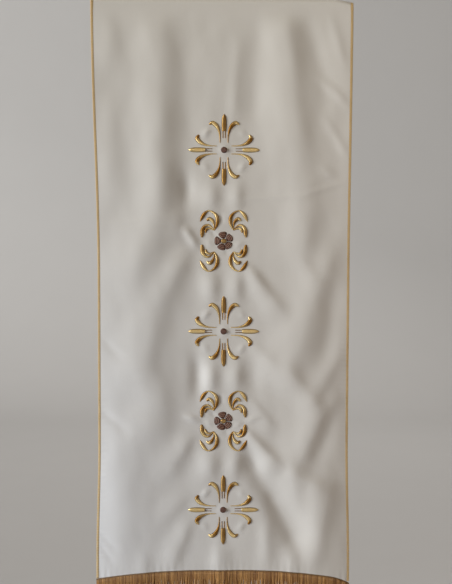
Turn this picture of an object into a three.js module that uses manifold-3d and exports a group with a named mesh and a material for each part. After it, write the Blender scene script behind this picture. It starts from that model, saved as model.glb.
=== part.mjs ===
// Lectern cover: a cloth panel that hangs over the edge of a lectern, with gold cords along its
// two long edges, a fringe under its hem and five embroidered motifs down its front.
// Millimetres, +Z up. X runs across the cloth, and the embroidered front faces -Y.
// The origin lies under the fold at the top edge, where the cover is carried.

import * as THREE from 'three';
import { mergeVertices } from 'three/addons/utils/BufferGeometryUtils.js';
import Module from 'manifold-3d';

const wasm = await Module();
wasm.setup();

// Driving dimensions
const CLOTH_WIDTH = 489; // across the top, between the edge cords
const CLOTH_THICKNESS = 1.5;
const FRONT_DROP = 1092; // from the end of the bend to the hem, on the centre line
const LEFT_CORNER_DROP = 18; // how much lower than its middle the hem hangs at each corner
const RIGHT_CORNER_DROP = 20;
const CORNER_POWER = 2.6;
const RIGHT_SAG = 5; // the right end of the fold droops past the edge that carries it
const SAG_START = 0.86; // as a share of the half width
const TOP_SHIFT = -4.3; // the top hangs a little to the left of the line of motifs
const DRAW_IN = 7.5; // each long edge is drawn in this far at mid-height
const DRAW_IN_DROP = 520; // where the drawing in is complete and the shift has died out
const HEM_FLARE = 4.5; // how much of it opens again above the hem
const HEM_FLARE_START = 850;
const HEM_FLARE_LENGTH = 240;

const BEND_RADIUS = 8; // middle of the cloth, over the edge
const FLAP_LENGTH = 200; // lies back on the sloping top
const FLAP_SLOPE = THREE.MathUtils.degToRad(14);

const CORD_WIDTH = 5.5; // a flat plait
const CORD_DEPTH = 2.6;
const CORD_SIDES = 6;
const SEAM_GAP = 0.35; // between one piece and the next
const EDGE_INSIDE = 0.97; // as a share of the half width, where the slope of the cloth's edge is taken

const FRINGE_LENGTH = 60;
const FRINGE_STRANDS = 216;
const STRAND_WIDTH = 1.5;
const HEADING_HEIGHT = 5;
const HEADING_THICKNESS = 2.6;
const ROOT_DEPTH = 2; // how far a strand's root is sunk into the heading
// Waves along the fringe that make it uneven: how far, and how fast from strand to strand
const UNEVEN_LENGTH = [{ reach: 2.5, pace: 1.7 }, { reach: 1.5, pace: 0.31 }];
const STRAND_SWING = { reach: 0.22, pace: 2.3 };
const STRAND_SIDES = 3;

const MOTIF_COUNT = 5;
const FIRST_MOTIF_DROP = 285; // centre of the uppermost motif, below the fold
const MOTIF_PITCH = 174;
const STITCH_GAP = 0.45; // under the embroidery, clear of the cloth's facets
const STITCH_HEIGHT = 0.28; // padding of a satin stitch, as a share of its width
const STITCH_LIMITS = [0.5, 1.5];
const LEAF_STEPS = { lobe: 6, stem: 2, curl: 8 };
const OVAL_SIDES = 12;

const GRID = { centreHalf: 70, centreStep: 10, outerSteps: 9, frontRows: 38, bendRows: 4, flapRows: 4 };

const cream = new THREE.MeshStandardMaterial({ color: 0xd8d2c6, roughness: 0.62, metalness: 0 });
const goldCord = new THREE.MeshStandardMaterial({ color: 0xb39a63, roughness: 0.5, metalness: 0.2 });
const goldThread = new THREE.MeshStandardMaterial({ color: 0xb98a3c, roughness: 0.4, metalness: 0.3 });
const brownThread = new THREE.MeshStandardMaterial({ color: 0x5f3a2a, roughness: 0.55, metalness: 0 });
const bronzeFringe = new THREE.MeshStandardMaterial({ color: 0x92744e, roughness: 0.55, metalness: 0.1 });

// Folds of the hanging front. Each row is a soft ridge, or a trough where its height is negative, along
// a line from one point of the front to another. The lean makes its right flank steeper than its left.
const FOLD_COLUMNS = ['x0', 'drop0', 'x1', 'drop1', 'width0', 'width1', 'height', 'lean', 'fade'];
const FOLD_ROWS = [
  // long ridge down the upper left, between two hollows
  [-128, 35, -123, 190, 36, 38, 4.4, 0.1, 60],
  [-124, 190, -130, 480, 37, 36, 7.0, 0.1, 60],
  [-220, 30, -217, 130, 20, 22, 1.8, 0.0, 40],
  [-217, 220, -212, 370, 22, 22, 1.9, 0.0, 50],
  [-70, 70, -68, 300, 26, 26, -1.2, 0.0, 70],
  [-112, 305, -112, 390, 22, 22, 2.0, 0.1, 40],
  [-71, 335, -70, 382, 14, 14, -3.4, 0.0, 30],
  [-92, 408, -88, 455, 16, 18, 2.2, 0.1, 25],
  // the same ridge lower down, with a slanting fold drawn from the first rose
  [-166, 450, -162, 560, 40, 42, 6.0, 0.1, 60],
  [-78, 488, -128, 590, 22, 34, 5.2, 0.1, 35],
  [-137, 590, -160, 740, 38, 44, 6.2, 0.1, 40],
  [-49, 680, -48, 762, 16, 16, -4.4, 0.0, 32],
  // folds fanning out from the lower motifs to the left hem
  [-120, 735, -146, 850, 36, 42, 5.6, 0.1, 45],
  [-63, 838, -114, 912, 16, 28, 3.4, 0.2, 28],
  [-72, 955, -130, 1010, 16, 24, 1.6, 0.2, 35],
  [-66, 1005, -102, 1090, 15, 20, 2.6, 0.2, 28],
  [-200, 830, -196, 1045, 50, 54, 4.2, -0.3, 60],
  // long ridge down the upper right, between two hollows
  [115, 25, 128, 165, 34, 38, 5.2, 0.25, 45],
  [128, 165, 142, 300, 42, 42, 6.4, 0.2, 45],
  [146, 310, 160, 395, 46, 40, 4.8, 0.2, 45],
  [166, 50, 194, 175, 20, 22, -2.2, 0.0, 45],
  [67, 55, 55, 250, 28, 26, -2.3, 0.0, 50],
  [24, 100, 18, 225, 13, 11, 1.2, 0.0, 40],
  // the same ridge lower down, buckled from side to side, and its hollows
  [161, 398, 145, 492, 32, 30, 4.8, 0.2, 40],
  [146, 492, 186, 552, 18, 20, 1.6, 0.2, 28],
  [206, 478, 166, 590, 26, 34, 3.4, 0.2, 45],
  [166, 590, 117, 726, 38, 42, 5.4, 0.1, 42],
  [212, 560, 194, 700, 20, 20, -2.2, 0.0, 40],
  [122, 708, 186, 790, 24, 24, 4.4, 0.2, 32],
  [219, 679, 174, 766, 18, 18, 2.4, 0.1, 28],
  [214, 764, 188, 800, 18, 22, 1.8, 0.2, 28],
  [188, 798, 133, 911, 28, 28, 4.6, 0.15, 30],
  [212, 795, 178, 880, 18, 18, -2.0, 0.0, 30],
  [137, 912, 198, 944, 20, 24, 4.6, 0.2, 28],
  [205, 935, 172, 1085, 28, 30, 4.4, 0.2, 42],
  // folds drawn from the motifs to that ridge
  [45, 508, 110, 596, 12, 22, 3.8, 0.25, 28],
  [52, 655, 112, 715, 12, 22, 1.6, 0.2, 28],
  [58, 690, 58, 752, 16, 16, -1.6, 0.0, 35],
  [55, 770, 96, 822, 11, 16, 1.8, 0.25, 22],
  [39, 823, 105, 894, 11, 22, 4.8, 0.3, 22],
  [52, 862, 72, 928, 16, 19, -5.0, 0.0, 32],
  [84, 932, 154, 1062, 25, 30, -8.0, -0.2, 36],
  [124, 885, 138, 965, 26, 28, 2.8, 0.3, 32],
  // two small pleats between each motif and the next
  [-22, 340, -22, 410, 18, 18, 4.2, 0.1, 45],
  [24, 340, 24, 410, 15, 15, 3.8, 0.1, 45],
  [-22, 512, -22, 583, 18, 18, 4.8, 0.1, 45],
  [24, 512, 24, 583, 16, 16, 4.2, 0.1, 45],
  [-23, 686, -24, 758, 17, 17, 4.8, 0.1, 45],
  [24, 686, 22, 758, 16, 16, 4.2, 0.1, 45],
  [-24, 856, -23, 930, 21, 21, 5.4, 0.1, 45],
  [23, 856, 20, 927, 16, 16, 4.0, 0.1, 45],
  // flutes over the hem
  [-152, 1068, -155, 1110, 14, 14, 1.4, 0.0, 22],
  [-8, 1050, -8, 1110, 18, 20, 3.4, -0.3, 35],
  [82, 1012, 86, 1085, 14, 14, 2.2, 0.0, 28],
  [132, 1064, 136, 1110, 14, 14, 2.0, 0.0, 22],
];
const FOLDS = FOLD_ROWS.map((row) => Object.fromEntries(FOLD_COLUMNS.map((name, i) => [name, row[i]])));

const EDGE_CURL = { start: 165, reach: 80, left: 7.5, right: 7, firstDrop: 250, fullDrop: 750 };
const TOP_FADE = 60; // the folds die out at the straight edge above
const STIFF = { across: 62, down: 70, share: 0.85 }; // the stitched cloth stays nearly flat

// Embroidery: each row is a point of a leaf's middle line and its width there.
// The cross's leaves are given along one arm: out from the centre, and to the side.
const ARM_LOBE = [[68, 0, 1.6], [63, 0, 7.0], [54, 0, 9.4], [44, 0, 9.4], [36, 0, 8.0]];
const ARM_STEM = [[37, 2.3, 1.6], [22.5, 2.3, 1.3]];
const ARM_CURL = [
  [14, 7.6, 1.4], [26, 7.9, 2.4], [37, 10, 4.6], [46.6, 15.2, 7.8], [51.4, 22.3, 7.8], [48.4, 28.6, 3.0],
];
const DOT = { radius: 6, height: 1.2 };
// The rose's spray is given for the upper left quarter: across, and up from the centre.
const SPRAY_ROOT = [-18.5, 20.5, 1.4];
const SPRAY_LEAVES = [
  [[-45.4, 37.5, 1.4], [-41, 46.5, 6.6], [-36.5, 53, 6.2], [-29.8, 57.8, 2.8], [-21, 55, 4.2],
    [-13.8, 47, 6.6], [-12.2, 38, 7.0], [-14, 29, 4.8], SPRAY_ROOT],
  [[-32.5, 39.2, 3.6], [-27.6, 42.6, 7.0], [-22, 38.3, 6.0], [-18.8, 31, 3.0], SPRAY_ROOT],
  [[-42.4, 7.0, 3.2], [-41.6, 14, 7.4], [-41, 21, 7.6], [-36.6, 28.3, 6.0], [-29.8, 30.4, 4.4],
    [-23.6, 26.5, 2.6], SPRAY_ROOT],
  [[-35, 15.8, 2.6], [-33.8, 21.3, 5.4], [-29.6, 24.4, 4.6], [-24.5, 23.2, 2.8], SPRAY_ROOT],
];
const PETALS = { count: 5, firstAngle: 100, radius: 12, along: 5.8, across: 8, height: 1.3 };
const ROSE_CENTRE = { radius: 8.2, height: 1.8 };
const QUARTERS = [[1, 1], [-1, 1], [-1, -1], [1, -1]]; // mirroring across and up

// Shape of the cloth

const HALF_WIDTH = CLOTH_WIDTH / 2;
const BEND_CENTRE_Z = CLOTH_THICKNESS / 2 - BEND_RADIUS;

function smooth(value) {
  return THREE.MathUtils.smoothstep(value, 0, 1);
}

function foldHeight(fold, x, drop) {
  const dx = fold.x1 - fold.x0;
  const dy = fold.drop1 - fold.drop0;
  const length = Math.hypot(dx, dy);
  const along = ((x - fold.x0) * dx + (drop - fold.drop0) * dy) / (length * length);
  const aside = ((x - fold.x0) * dy - (drop - fold.drop0) * dx) / length;
  const width = THREE.MathUtils.lerp(fold.width0, fold.width1, THREE.MathUtils.clamp(along, 0, 1));
  const flank = aside > 0 ? width * (1 - fold.lean) : width * (1 + fold.lean);
  const fade = fold.fade / length;
  const ends = smooth((along + fade) / (2 * fade)) * smooth((1 + fade - along) / (2 * fade));
  return fold.height * Math.exp(-((aside / flank) ** 2)) * ends;
}

// 1 on the bare cloth, less on the cloth that a motif stiffens
function slackness(x, drop) {
  let slack = 1;
  for (let i = 0; i < MOTIF_COUNT; i += 1) {
    const away = (x / STIFF.across) ** 2 + ((drop - FIRST_MOTIF_DROP - i * MOTIF_PITCH) / STIFF.down) ** 2;
    slack -= STIFF.share * Math.exp(-(away ** 2));
  }
  return Math.max(slack, 0);
}

function edgeCurl(x, drop) {
  const low = THREE.MathUtils.clamp(
    (drop - EDGE_CURL.firstDrop) / (EDGE_CURL.fullDrop - EDGE_CURL.firstDrop), 0, 1);
  const out = THREE.MathUtils.clamp((Math.abs(x) - EDGE_CURL.start) / EDGE_CURL.reach, 0, 1);
  const depth = x < 0 ? EDGE_CURL.left : EDGE_CURL.right;
  return -depth * low * out * out;
}

// How far the middle of the cloth stands forward of its upright plane
function relief(x, drop) {
  const folds = FOLDS.reduce((sum, fold) => sum + foldHeight(fold, x, drop), 0);
  return (folds * slackness(x, drop) + edgeCurl(x, drop)) * smooth(drop / TOP_FADE);
}

function halfWidthAt(drop) {
  const drawn = DRAW_IN * smooth(drop / DRAW_IN_DROP);
  return HALF_WIDTH - drawn + HEM_FLARE * smooth((drop - HEM_FLARE_START) / HEM_FLARE_LENGTH);
}

function centreAt(drop) {
  return TOP_SHIFT * (1 - smooth(drop / DRAW_IN_DROP));
}

function sag(u) {
  return RIGHT_SAG * Math.max(0, (u - SAG_START) / (1 - SAG_START)) ** 2;
}

// Points of the cloth's middle, with u from -1 at the left edge to 1 at the right: on the hanging front
// by a share of its length, on the bend by an angle from its top, on the flap by a length from the bend.
function hangingPoint(u, share) {
  const corner = u < 0 ? LEFT_CORNER_DROP : RIGHT_CORNER_DROP;
  const down = share * (FRONT_DROP + corner * Math.abs(u) ** CORNER_POWER);
  const z = BEND_CENTRE_Z - down;
  const x = centreAt(-z) + u * halfWidthAt(-z);
  return new THREE.Vector3(x, -BEND_RADIUS - relief(x, -z), z - sag(u));
}

function bendPoint(u, angle) {
  const y = -BEND_RADIUS * Math.sin(angle);
  const z = BEND_CENTRE_Z + BEND_RADIUS * Math.cos(angle) - sag(u);
  return new THREE.Vector3(TOP_SHIFT + u * HALF_WIDTH, y, z);
}

function flapPoint(u, length) {
  const start = bendPoint(u, -FLAP_SLOPE);
  start.y += length * Math.cos(FLAP_SLOPE);
  start.z -= length * Math.sin(FLAP_SLOPE);
  return start;
}

// Rows of the cloth from the end of the flap, over the bend and down to the hem
function clothRows() {
  const rows = [];
  for (let i = GRID.flapRows; i > 0; i -= 1) {
    rows.push((u) => flapPoint(u, (FLAP_LENGTH * i) / GRID.flapRows));
  }
  for (let i = 0; i <= GRID.bendRows; i += 1) {
    rows.push((u) => bendPoint(u, THREE.MathUtils.lerp(-FLAP_SLOPE, Math.PI / 2, i / GRID.bendRows)));
  }
  for (let i = 1; i <= GRID.frontRows; i += 1) {
    rows.push((u) => hangingPoint(u, i / GRID.frontRows));
  }
  return rows;
}

// Columns close together down the pleated middle and wider apart towards the edges
function clothColumns() {
  const half = [];
  for (let x = 0; x < GRID.centreHalf; x += GRID.centreStep) half.push(x);
  for (let i = 0; i <= GRID.outerSteps; i += 1) {
    half.push(THREE.MathUtils.lerp(GRID.centreHalf, HALF_WIDTH, i / GRID.outerSteps));
  }
  const right = half.map((x) => x / HALF_WIDTH);
  return [...right.slice(1).reverse().map((u) => -u), ...right];
}

// Solids

function geometryOf(points, triangles) {
  const geometry = new THREE.BufferGeometry();
  const numbers = points.flatMap((p) => [p.x, p.y, p.z]);
  geometry.setAttribute('position', new THREE.Float32BufferAttribute(numbers, 3));
  geometry.setIndex(triangles.flat());
  return geometry;
}

function quad(a, b, c, d) {
  return [[a, b, c], [a, c, d]];
}

// A sheet of even thickness whose middle is a grid of points, rows by columns
function sheetSolid(grid, thickness) {
  const rows = grid.length;
  const columns = grid[0].length;
  const front = [];
  const back = [];
  for (let r = 0; r < rows; r += 1) {
    for (let c = 0; c < columns; c += 1) {
      const across = grid[r][Math.min(c + 1, columns - 1)].clone().sub(grid[r][Math.max(c - 1, 0)]);
      const down = grid[Math.min(r + 1, rows - 1)][c].clone().sub(grid[Math.max(r - 1, 0)][c]);
      const outward = down.cross(across).normalize().multiplyScalar(thickness / 2);
      front.push(grid[r][c].clone().add(outward));
      back.push(grid[r][c].clone().sub(outward));
    }
  }
  const total = front.length;
  const at = (r, c) => r * columns + c;
  const triangles = [];
  for (let r = 0; r + 1 < rows; r += 1) {
    for (let c = 0; c + 1 < columns; c += 1) {
      const corners = [at(r, c), at(r + 1, c), at(r + 1, c + 1), at(r, c + 1)];
      triangles.push(...quad(...corners), ...quad(...corners.map((i) => i + total).reverse()));
    }
  }
  const rim = [];
  for (let c = 0; c < columns - 1; c += 1) rim.push(at(0, c));
  for (let r = 0; r < rows - 1; r += 1) rim.push(at(r, columns - 1));
  for (let c = columns - 1; c > 0; c -= 1) rim.push(at(rows - 1, c));
  for (let r = rows - 1; r > 0; r -= 1) rim.push(at(r, 0));
  rim.forEach((a, i) => {
    const b = rim[(i + 1) % rim.length];
    triangles.push(...quad(a, b, b + total, a + total));
  });
  return geometryOf([...front, ...back], triangles);
}

// A skin over rings of points, each ring with as many points as the next, closed flat at both ends
function ringSolid(rings) {
  const sides = rings[0].length;
  const triangles = [];
  for (let r = 0; r + 1 < rings.length; r += 1) {
    for (let s = 0; s < sides; s += 1) {
      const next = (s + 1) % sides;
      triangles.push(...quad(r * sides + s, r * sides + next, (r + 1) * sides + next, (r + 1) * sides + s));
    }
  }
  const last = (rings.length - 1) * sides;
  for (let s = 1; s + 1 < sides; s += 1) {
    triangles.push([0, s + 1, s], [last, last + s, last + s + 1]);
  }
  return geometryOf(rings.flat(), triangles);
}

function joined(geometries) {
  const solids = geometries.map((geometry) => {
    const merged = mergeVertices(geometry);
    return new wasm.Manifold(new wasm.Mesh({
      numProp: 3,
      vertProperties: new Float32Array(merged.attributes.position.array),
      triVerts: new Uint32Array(merged.index.array),
    }));
  });
  const mesh = wasm.Manifold.union(solids).getMesh();
  const geometry = new THREE.BufferGeometry();
  geometry.setAttribute('position', new THREE.Float32BufferAttribute(mesh.vertProperties, 3));
  geometry.setIndex(Array.from(mesh.triVerts));
  return geometry;
}

// Pieces

function clothPanel() {
  const columns = clothColumns();
  return sheetSolid(clothRows().map((row) => columns.map(row)), CLOTH_THICKNESS);
}

// A cord sewn flat along one long edge, from the end of the flap to the hem
function edgeCord(side) {
  const middle = clothRows().map((row) => row(side));
  const inside = clothRows().map((row) => row(side * EDGE_INSIDE));
  const last = middle.length - 1;
  const outside = SEAM_GAP + CORD_WIDTH / 2;
  const rings = middle.map((point, i) => {
    const along = middle[Math.min(i + 1, last)].clone().sub(middle[Math.max(i - 1, 0)]).normalize();
    const across = point.clone().sub(inside[i]).multiplyScalar(side);
    across.addScaledVector(along, -across.dot(along)).normalize();
    const outward = new THREE.Vector3().crossVectors(along, across);
    const centre = point.clone().addScaledVector(across, side * outside);
    return Array.from({ length: CORD_SIDES }, (_, s) => {
      const turn = (s / CORD_SIDES) * Math.PI * 2;
      return centre.clone()
        .addScaledVector(across, Math.cos(turn) * CORD_WIDTH / 2)
        .addScaledVector(outward, Math.sin(turn) * CORD_DEPTH / 2);
    });
  });
  return ringSolid(rings);
}

// A narrow strip under the hem and the cords, with strands of uneven length that hang from it
function hemFringe() {
  const hem = (u, below) => {
    const point = hangingPoint(u, 1);
    point.z -= SEAM_GAP + below;
    return point;
  };
  const reach = 1 + (SEAM_GAP + CORD_WIDTH) / HALF_WIDTH; // to the outer side of each cord
  const columns = clothColumns().map((u) => u * reach);
  const stripRows = [0, HEADING_HEIGHT].map((below) => columns.map((u) => hem(u, below)));
  const strands = [];
  for (let i = 0; i < FRINGE_STRANDS; i += 1) {
    const u = THREE.MathUtils.lerp(-reach, reach, (i + 0.5) / FRINGE_STRANDS);
    const wave = ({ reach, pace }) => reach * Math.sin(i * pace);
    const uneven = UNEVEN_LENGTH.reduce((sum, row) => sum + wave(row), 0);
    const levels = [
      { below: HEADING_HEIGHT - ROOT_DEPTH, shift: 0 },
      { below: FRINGE_LENGTH + uneven, shift: wave(STRAND_SWING) },
    ];
    strands.push(ringSolid(levels.map(({ below, shift }) => Array.from({ length: STRAND_SIDES }, (_, s) => {
      const turn = (s / STRAND_SIDES + 1 / 4) * Math.PI * 2;
      const point = hem(u, below);
      point.x += shift + Math.cos(turn) * STRAND_WIDTH / 2;
      point.y += Math.sin(turn) * STRAND_WIDTH / 2;
      return point;
    }).reverse())));
  }
  return joined([sheetSolid(stripRows, HEADING_THICKNESS), ...strands]);
}

// Puts a point of a motif, across and up from its centre, in front of the cloth
function stitchedPoint(centreDrop, x, y, height) {
  const drop = centreDrop - y;
  const front = -BEND_RADIUS - relief(x, drop) - CLOTH_THICKNESS / 2;
  return new THREE.Vector3(x, front - STITCH_GAP - height, -drop);
}

// A leaf of satin stitch: a curve through its rows, with a low three-sided section
function satinLeaf(centreDrop, rows, steps) {
  const middles = rows.map(([x, y]) => new THREE.Vector3(x, y, 0));
  const curve = new THREE.CatmullRomCurve3(middles, false, 'centripetal');
  const rings = Array.from({ length: steps + 1 }, (_, i) => {
    const t = i / steps;
    const middle = curve.getPoint(t);
    const along = curve.getTangent(t);
    const place = t * (rows.length - 1);
    const row = Math.min(Math.floor(place), rows.length - 2);
    const width = THREE.MathUtils.lerp(rows[row][2], rows[row + 1][2], place - row);
    const height = THREE.MathUtils.clamp(width * STITCH_HEIGHT, ...STITCH_LIMITS);
    const edge = (reach) => [middle.x - reach * along.y, middle.y + reach * along.x];
    return [
      stitchedPoint(centreDrop, middle.x, middle.y, height),
      stitchedPoint(centreDrop, ...edge(-width / 2), 0),
      stitchedPoint(centreDrop, ...edge(width / 2), 0),
    ];
  });
  return ringSolid(rings);
}

// A low dome of stitches over an oval: its centre, its half sizes and the direction of the first
function stitchedOval(centreDrop, [x, y], along, across, angle, height) {
  const middle = stitchedPoint(centreDrop, x, y, height);
  const base = stitchedPoint(centreDrop, x, y, 0);
  const points = [middle, base];
  const triangles = [];
  for (let s = 0; s < OVAL_SIDES; s += 1) {
    const turn = (s / OVAL_SIDES) * Math.PI * 2;
    const a = Math.cos(turn) * along;
    const b = Math.sin(turn) * across;
    const rimX = x + a * Math.cos(angle) - b * Math.sin(angle);
    const rimY = y + a * Math.sin(angle) + b * Math.cos(angle);
    points.push(stitchedPoint(centreDrop, rimX, rimY, 0));
    const next = 2 + ((s + 1) % OVAL_SIDES);
    triangles.push([0, 2 + s, next], [1, next, 2 + s]);
  }
  return geometryOf(points, triangles);
}

// Turns rows given along one arm of the cross to any arm, on either side of it
function onArm(rows, arm, sideSign) {
  const angle = Math.PI / 2 - arm * (Math.PI / 2);
  return rows.map(([out, side, width]) => [
    out * Math.cos(angle) + sideSign * side * Math.sin(angle),
    out * Math.sin(angle) - sideSign * side * Math.cos(angle),
    width,
  ]);
}

function mirrored(rows, signX, signY) {
  return rows.map(([x, y, width]) => [x * signX, y * signY, width]);
}

const cover = new THREE.Group();

function addPiece(name, geometry, material) {
  const mesh = new THREE.Mesh(geometry, material);
  mesh.name = name;
  cover.add(mesh);
}

function addCross(name, centreDrop) {
  for (let arm = 0; arm < 4; arm += 1) {
    addPiece(`${name}_lobe_${arm + 1}`, joined([
      satinLeaf(centreDrop, onArm(ARM_LOBE, arm, 1), LEAF_STEPS.lobe),
      satinLeaf(centreDrop, onArm(ARM_STEM, arm, 1), LEAF_STEPS.stem),
      satinLeaf(centreDrop, onArm(ARM_STEM, arm, -1), LEAF_STEPS.stem),
    ]), goldThread);
    for (const sideSign of [1, -1]) {
      const number = arm * 2 + (sideSign > 0 ? 1 : 2);
      const curl = satinLeaf(centreDrop, onArm(ARM_CURL, arm, sideSign), LEAF_STEPS.curl);
      addPiece(`${name}_curl_${number}`, curl, goldThread);
    }
  }
  const dot = stitchedOval(centreDrop, [0, 0], DOT.radius, DOT.radius, 0, DOT.height);
  addPiece(`${name}_dot`, dot, brownThread);
}

function addRose(name, centreDrop) {
  const petals = Array.from({ length: PETALS.count }, (_, i) => {
    const angle = THREE.MathUtils.degToRad(PETALS.firstAngle - (i * 360) / PETALS.count);
    const place = [Math.cos(angle) * PETALS.radius, Math.sin(angle) * PETALS.radius];
    return stitchedOval(centreDrop, place, PETALS.along, PETALS.across, angle, PETALS.height);
  });
  const { radius, height } = ROSE_CENTRE;
  const centre = stitchedOval(centreDrop, [0, 0], radius, radius, 0, height);
  addPiece(`${name}_flower`, joined([centre, ...petals]), brownThread);
  QUARTERS.forEach(([signX, signY], quarter) => {
    const leaves = SPRAY_LEAVES.map((rows) => (
      satinLeaf(centreDrop, mirrored(rows, signX, signY), rows.length)));
    addPiece(`${name}_spray_${quarter + 1}`, joined(leaves), goldThread);
  });
}

addPiece('cloth_panel', clothPanel(), cream);
addPiece('edge_cord_left', edgeCord(-1), goldCord);
addPiece('edge_cord_right', edgeCord(1), goldCord);
addPiece('fringe', hemFringe(), bronzeFringe);
for (let i = 0; i < MOTIF_COUNT; i += 1) {
  const centreDrop = FIRST_MOTIF_DROP + i * MOTIF_PITCH;
  if (i % 2 === 0) addCross(`cross_${i / 2 + 1}`, centreDrop);
  else addRose(`rose_${(i + 1) / 2}`, centreDrop);
}

export default cover;
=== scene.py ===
"""Looks of a hanging lectern cover: cloth, edge cords, fringe and embroidery around its solids.

Sizes are metres unless a table says otherwise. X runs across the cloth, its front faces -Y, Z is up, and
"drop" is the distance below the fold at the top edge.
"""

import math

import bpy
import numpy as np
from bpy.props import FloatProperty, FloatVectorProperty, IntProperty, PointerProperty
from mathutils import Matrix, Vector


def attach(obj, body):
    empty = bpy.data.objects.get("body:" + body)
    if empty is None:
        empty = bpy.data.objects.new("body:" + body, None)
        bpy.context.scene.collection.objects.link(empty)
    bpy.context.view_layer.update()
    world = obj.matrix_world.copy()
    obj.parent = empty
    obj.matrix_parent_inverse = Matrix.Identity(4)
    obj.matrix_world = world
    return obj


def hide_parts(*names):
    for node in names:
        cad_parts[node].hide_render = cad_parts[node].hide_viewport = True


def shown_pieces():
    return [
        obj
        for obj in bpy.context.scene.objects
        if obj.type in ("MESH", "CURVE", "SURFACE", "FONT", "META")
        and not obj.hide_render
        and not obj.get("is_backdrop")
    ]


bl_info = {
    "name": "Lectern cover",
    "version": (1, 0, 0),
    "blender": (4, 5, 0),
    "location": "3D View > Sidebar > Cover",
    "description": "Dresses the solids of a hanging lectern cover as cloth, cord, fringe and embroidery",
    "category": "Object",
}

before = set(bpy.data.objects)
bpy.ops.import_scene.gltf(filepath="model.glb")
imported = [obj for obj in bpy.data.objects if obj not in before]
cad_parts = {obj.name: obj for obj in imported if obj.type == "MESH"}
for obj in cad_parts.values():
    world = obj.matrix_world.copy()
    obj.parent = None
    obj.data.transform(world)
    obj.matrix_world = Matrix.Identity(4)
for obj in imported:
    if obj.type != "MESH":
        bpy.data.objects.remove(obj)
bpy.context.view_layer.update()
MM = 0.001
TURN = 2 * math.pi


# Settings

def length(name, description, default):
    return FloatProperty(name=name, description=description, default=default, unit="LENGTH", precision=5)


def degrees(name, description, default):
    return FloatProperty(
        name=name, description=description, default=math.radians(default), subtype="ANGLE")


def colour(name, description, default):
    return FloatVectorProperty(
        name=name, description=description, default=default, size=3, subtype="COLOR", min=0, max=1)


class ClothSettings(bpy.types.PropertyGroup):
    """The panel and how it hangs"""

    width: length("Width", "Across the top, between the edge cords", 0.489)
    thickness: length("Thickness", "Of the visible cloth", 0.001)
    front_drop: length("Front drop", "From the end of the bend to the hem, on the centre line", 1.092)
    left_corner: length("Left corner", "How much lower the hem hangs at its left corner", 0.018)
    right_corner: length("Right corner", "How much lower the hem hangs at its right corner", 0.020)
    right_sag: length("Right sag", "Droop of the fold's right end", 0.005)
    top_shift: length("Top shift", "How far the top hangs aside of the line of motifs", -0.0043)
    draw_in: length("Draw in", "How far each long edge is drawn in at mid-height", 0.0075)
    hem_flare: length("Hem flare", "How much of that opens again over the hem", 0.0045)
    bend_radius: length("Bend radius", "Middle of the cloth, over the edge", 0.008)
    flap_length: length("Flap length", "Lies back on the sloping top", 0.200)
    flap_slope: degrees("Flap slope", "Fall of the flap towards the back", 14)
    tint: colour("Tint", "Cream of the cloth", (0.672, 0.652, 0.606))


class TrimSettings(bpy.types.PropertyGroup):
    """The edge cords and the fringe"""

    cord_width: length("Cord width", "Across the flat plait", 0.0055)
    cord_depth: length("Cord depth", "Through the flat plait", 0.0026)
    cord_lay: length("Cord lay", "From one crossing of a strand to its next on the same side", 0.016)
    seam_gap: length("Seam gap", "Between the cloth's edge and the trim", 0.00035)
    fringe_length: length("Fringe length", "From the hem to the cut ends", 0.060)
    strand_count: IntProperty(name="Strands", description="Strands in the fringe", default=960, min=10)
    strand_diameter: length("Strand diameter", "Of one twisted strand", 0.0014)
    heading_height: length("Heading height", "Of the braid that holds the strands", 0.0040)
    cord_light: colour("Cord light", "Lighter gold of the cords", (0.840, 0.660, 0.370))
    cord_dark: colour("Cord dark", "Darker gold of the cords", (0.530, 0.365, 0.160))
    fringe_light: colour("Fringe light", "Lighter strands", (0.720, 0.415, 0.140))
    fringe_dark: colour("Fringe dark", "Darker strands", (0.230, 0.098, 0.022))
    heading_tint: colour("Heading tint", "Braid over the strands", (0.170, 0.095, 0.035))


class StitchSettings(bpy.types.PropertyGroup):
    """The embroidered motifs"""

    first_drop: length("First motif", "Centre of the uppermost motif, below the fold", 0.285)
    spacing: length("Spacing", "From one motif's centre to the next", 0.174)
    thread: length("Thread", "Pitch of the stitches", 0.00072)
    # The stitches' tone mixes gold dark into gold light: where it follows the way the threads lie to the
    # light, this is a painted sheen
    gold_light: colour("Gold light", "Lighter gold thread", (0.930, 0.700, 0.320))
    gold_dark: colour("Gold dark", "Darker gold thread", (0.285, 0.132, 0.020))
    # Painted shade on the gold stitches' edges, where they go down into the cloth
    gold_edge_shade: colour("Gold edge", "Gold thread where it goes down into the cloth", (0.115, 0.055, 0.010))
    brown_light: colour("Brown light", "Lighter brown thread", (0.420, 0.245, 0.170))
    brown_dark: colour("Brown dark", "Darker brown thread", (0.085, 0.032, 0.020))


class StageSettings(bpy.types.PropertyGroup):
    """The floor, the lights and the camera"""

    floor_drop: length("Floor", "Below the fold", 1.30)
    floor_tint: colour("Floor tint", "Pale floor and backdrop", (0.55, 0.55, 0.55))
    distance: length("Camera distance", "In front of the cloth", 2.40)
    camera_x: length("Camera across", "Right of the centre line", -0.030)
    camera_z: length("Camera height", "Above the fold", -0.420)
    aim_x: length("Aim across", "Point of the cloth in mid-picture", 0.0045)
    aim_z: length("Aim height", "Point of the cloth in mid-picture", -0.557)
    view_angle: degrees("View angle", "Height of the picture, as an angle", 26.4)
    roll: degrees("Roll", "Turn of the picture", 0.15)


SETTINGS = {
    "cover_cloth": ClothSettings,
    "cover_trim": TrimSettings,
    "cover_stitch": StitchSettings,
    "cover_stage": StageSettings,
}


def cloth():
    return bpy.context.scene.cover_cloth


def trim():
    return bpy.context.scene.cover_trim


def stitch():
    return bpy.context.scene.cover_stitch


# How the cloth hangs

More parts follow.
